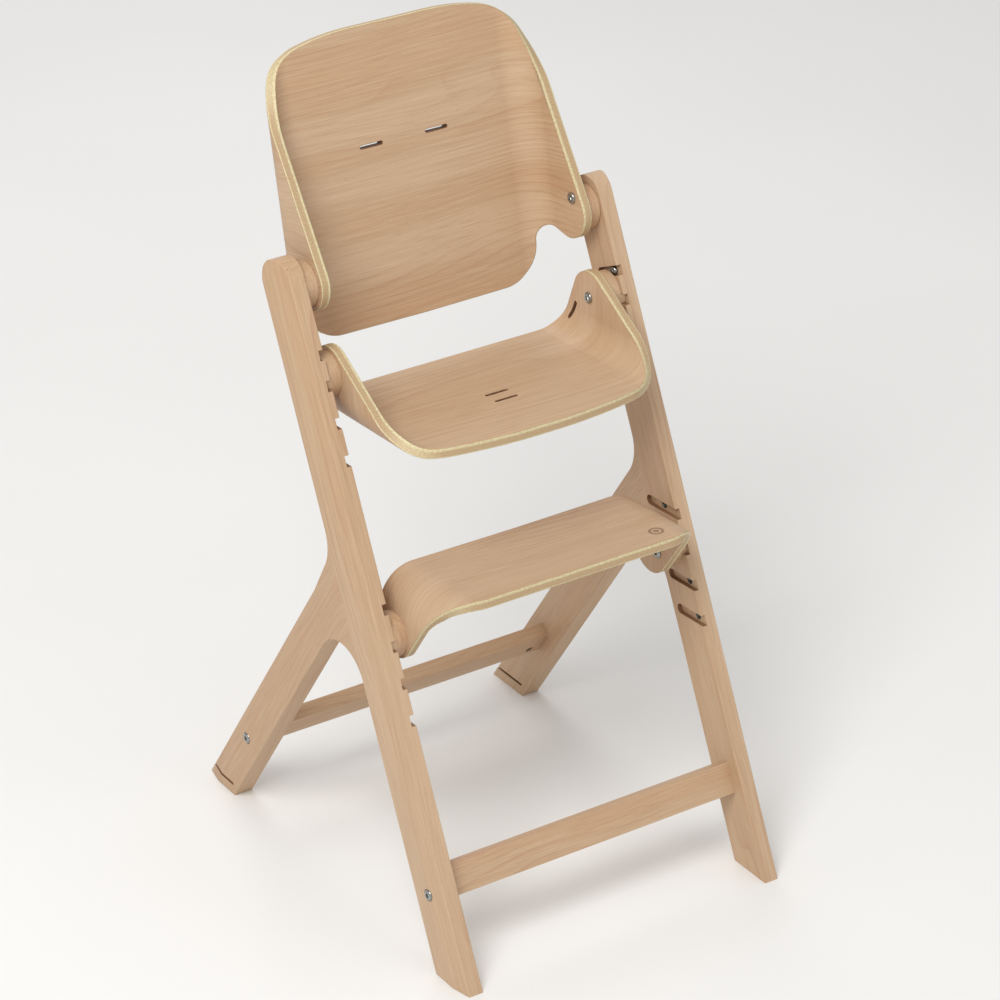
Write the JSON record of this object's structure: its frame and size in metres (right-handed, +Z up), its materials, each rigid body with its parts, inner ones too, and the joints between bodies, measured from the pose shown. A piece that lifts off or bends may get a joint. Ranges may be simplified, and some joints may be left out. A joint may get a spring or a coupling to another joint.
{
  "type": "baby high chair",
  "caption": "Wooden baby high chair with A-shaped side frames and a bent plywood backrest, seat and footrest held by bolts in slanting grooves.",
  "frame": {"origin": "on the floor under the middle of the chair", "axes": "+X along the crossbars, to the right of someone facing the front of the chair; +Y from the front to the back; +Z up"},
  "size_m": [0.453, 0.58, 0.9728],
  "materials": {
    "frame_wood": "matt lacquered solid beech",
    "crossbar_wood": "matt lacquered solid beech",
    "plywood": "matt lacquered beech plywood, pale layered edge",
    "disc_wood": "matt lacquered turned beech",
    "tongue_wood": "plain beech",
    "dowel_wood": "plain beech",
    "screw_steel": "polished stainless steel",
    "insert_steel": "zinc plated steel",
    "nut_steel": "zinc plated steel"
  },
  "bodies": {
    "frame": {"left_side_frame": "frame_wood", "right_side_frame": "frame_wood", "front_crossbar": "crossbar_wood", "rear_crossbar": "crossbar_wood", "front_crossbar_bolts": "screw_steel", "rear_crossbar_bolts": "screw_steel", "front_barrel_nuts": "nut_steel", "rear_barrel_nuts": "nut_steel", "front_crossbar_dowels": "dowel_wood", "rear_crossbar_dowels": "dowel_wood", "left_seat_inserts": "insert_steel", "right_seat_inserts": "insert_steel", "left_footrest_inserts": "insert_steel", "right_footrest_inserts": "insert_steel", "left_backrest_insert": "insert_steel", "right_backrest_insert": "insert_steel", "left_stop_screw": "screw_steel", "right_stop_screw": "screw_steel", "left_backrest_bolt": "screw_steel", "right_backrest_bolt": "screw_steel"},
    "backrest": {"backrest_shell": "plywood", "left_backrest_disc": "disc_wood", "right_backrest_disc": "disc_wood", "backrest_disc_dowels": "dowel_wood"},
    "seat": {"seat_shell": "plywood", "left_seat_disc": "disc_wood", "right_seat_disc": "disc_wood", "left_seat_tongue": "tongue_wood", "right_seat_tongue": "tongue_wood", "left_seat_bolt": "screw_steel", "right_seat_bolt": "screw_steel", "seat_disc_dowels": "dowel_wood"},
    "footrest": {"footrest_shell": "plywood", "left_footrest_disc": "disc_wood", "right_footrest_disc": "disc_wood", "left_footrest_tongue": "tongue_wood", "right_footrest_tongue": "tongue_wood", "left_footrest_bolt": "screw_steel", "right_footrest_bolt": "screw_steel", "footrest_disc_dowels": "dowel_wood"}
  },
  "joints": [
    {"name": "seat_slide", "type": "slide", "parent": "frame", "child": "seat", "axis": [0, -0.9976, 0.0698], "range_m": [0, 0.045]},
    {"name": "footrest_slide", "type": "slide", "parent": "frame", "child": "footrest", "axis": [0, -0.9976, 0.0698], "range_m": [0, 0.035]},
    {"name": "backrest_tilt", "type": "hinge", "parent": "frame", "child": "backrest", "pos_m": [0, 0.085, 0.75345], "axis": [-1, 0, 0], "range_deg": [-5, 10]}
  ]
}
